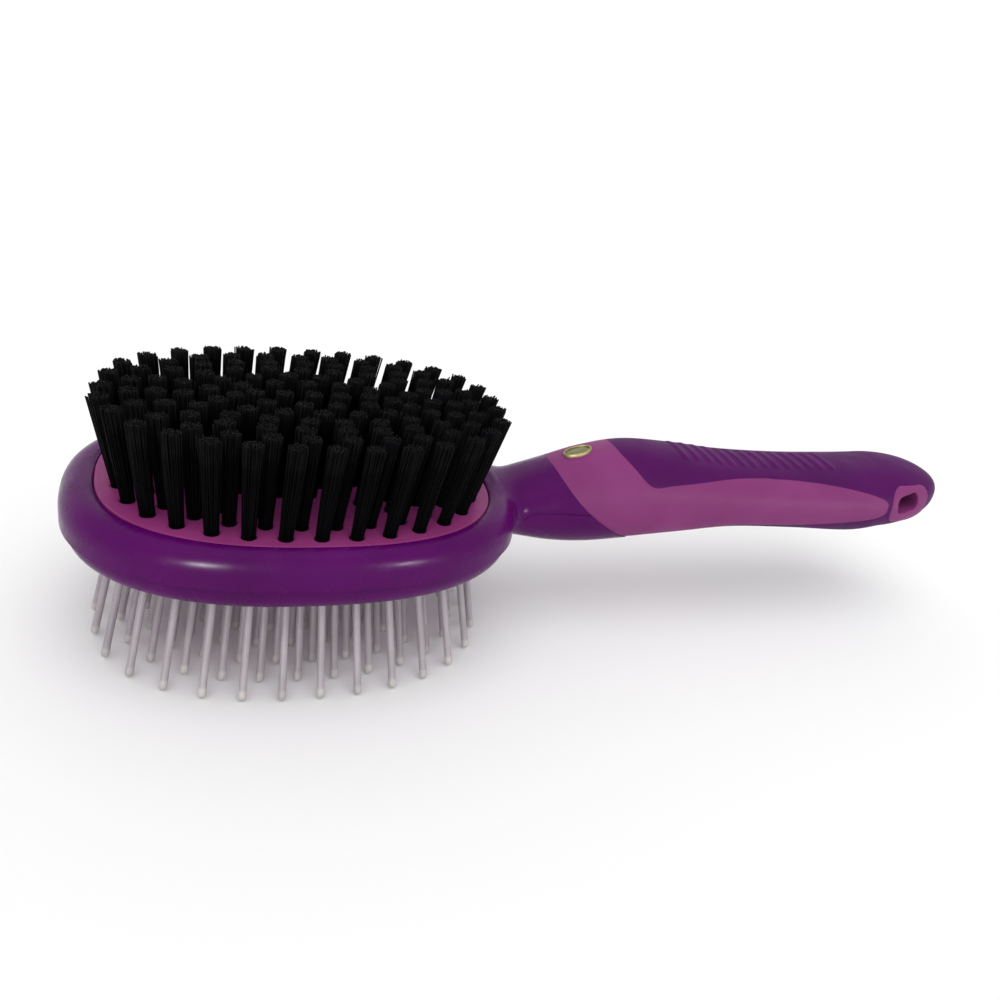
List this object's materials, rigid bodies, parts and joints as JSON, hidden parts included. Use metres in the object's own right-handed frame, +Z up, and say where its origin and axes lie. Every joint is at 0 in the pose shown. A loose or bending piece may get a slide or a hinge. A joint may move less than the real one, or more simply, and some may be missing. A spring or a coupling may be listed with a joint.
{
  "type": "double-sided bristle brush",
  "caption": "Double-sided grooming brush: oval head with a fanned field of bristle tufts on one face, a sprung pad of pins on the other, and a contoured handle with a hanging hole.",
  "frame": {"origin": "middle of the brush's footprint, at the level of the lowest pin tips that it stands on", "axes": "+X from the head along the handle, +Y across the brush, +Z up towards the bristle side"},
  "size_m": [0.22, 0.0698, 0.0529],
  "materials": {
    "gloss_purple": "glossy moulded plastic",
    "grip_purple": "soft-touch satin rubber",
    "pink_plastic": "satin moulded plastic",
    "pad_pink": "satin moulded plastic",
    "cushion_rubber": "matt rubber",
    "black_nylon": "fine nylon filament",
    "pin_plastic": "milky translucent plastic",
    "badge_gold": "polished",
    "badge_olive": "printed enamel, blank"
  },
  "bodies": {
    "brush_body": {"upper_shell": "gloss_purple", "lower_shell": "gloss_purple", "handle_core": "pink_plastic", "grip_sleeve": "grip_purple", "badge_bezel": "badge_gold", "badge_face": "badge_olive", "bristle_plate": "pad_pink", "head_divider": "pad_pink", "cushion_retainer": "pink_plastic", "tuft_ring_1": "black_nylon", "tuft_ring_2": "black_nylon", "tuft_ring_3": "black_nylon", "tuft_ring_4": "black_nylon", "tuft_ring_5": "black_nylon", "tuft_ring_6": "black_nylon", "tuft_ring_7": "black_nylon"},
    "pin_pad": {"pin_cushion": "cushion_rubber", "pin_ring_1": "pin_plastic", "pin_ring_2": "pin_plastic", "pin_ring_3": "pin_plastic", "pin_ring_4": "pin_plastic", "pin_ring_5": "pin_plastic", "pin_ring_6": "pin_plastic"}
  },
  "joints": [
    {"name": "pin_cushion_press", "type": "slide", "parent": "brush_body", "child": "pin_pad", "axis": [0, 0, 1], "range_m": [0, 0.0025], "stiffness_N_per_m": 3000}
  ]
}
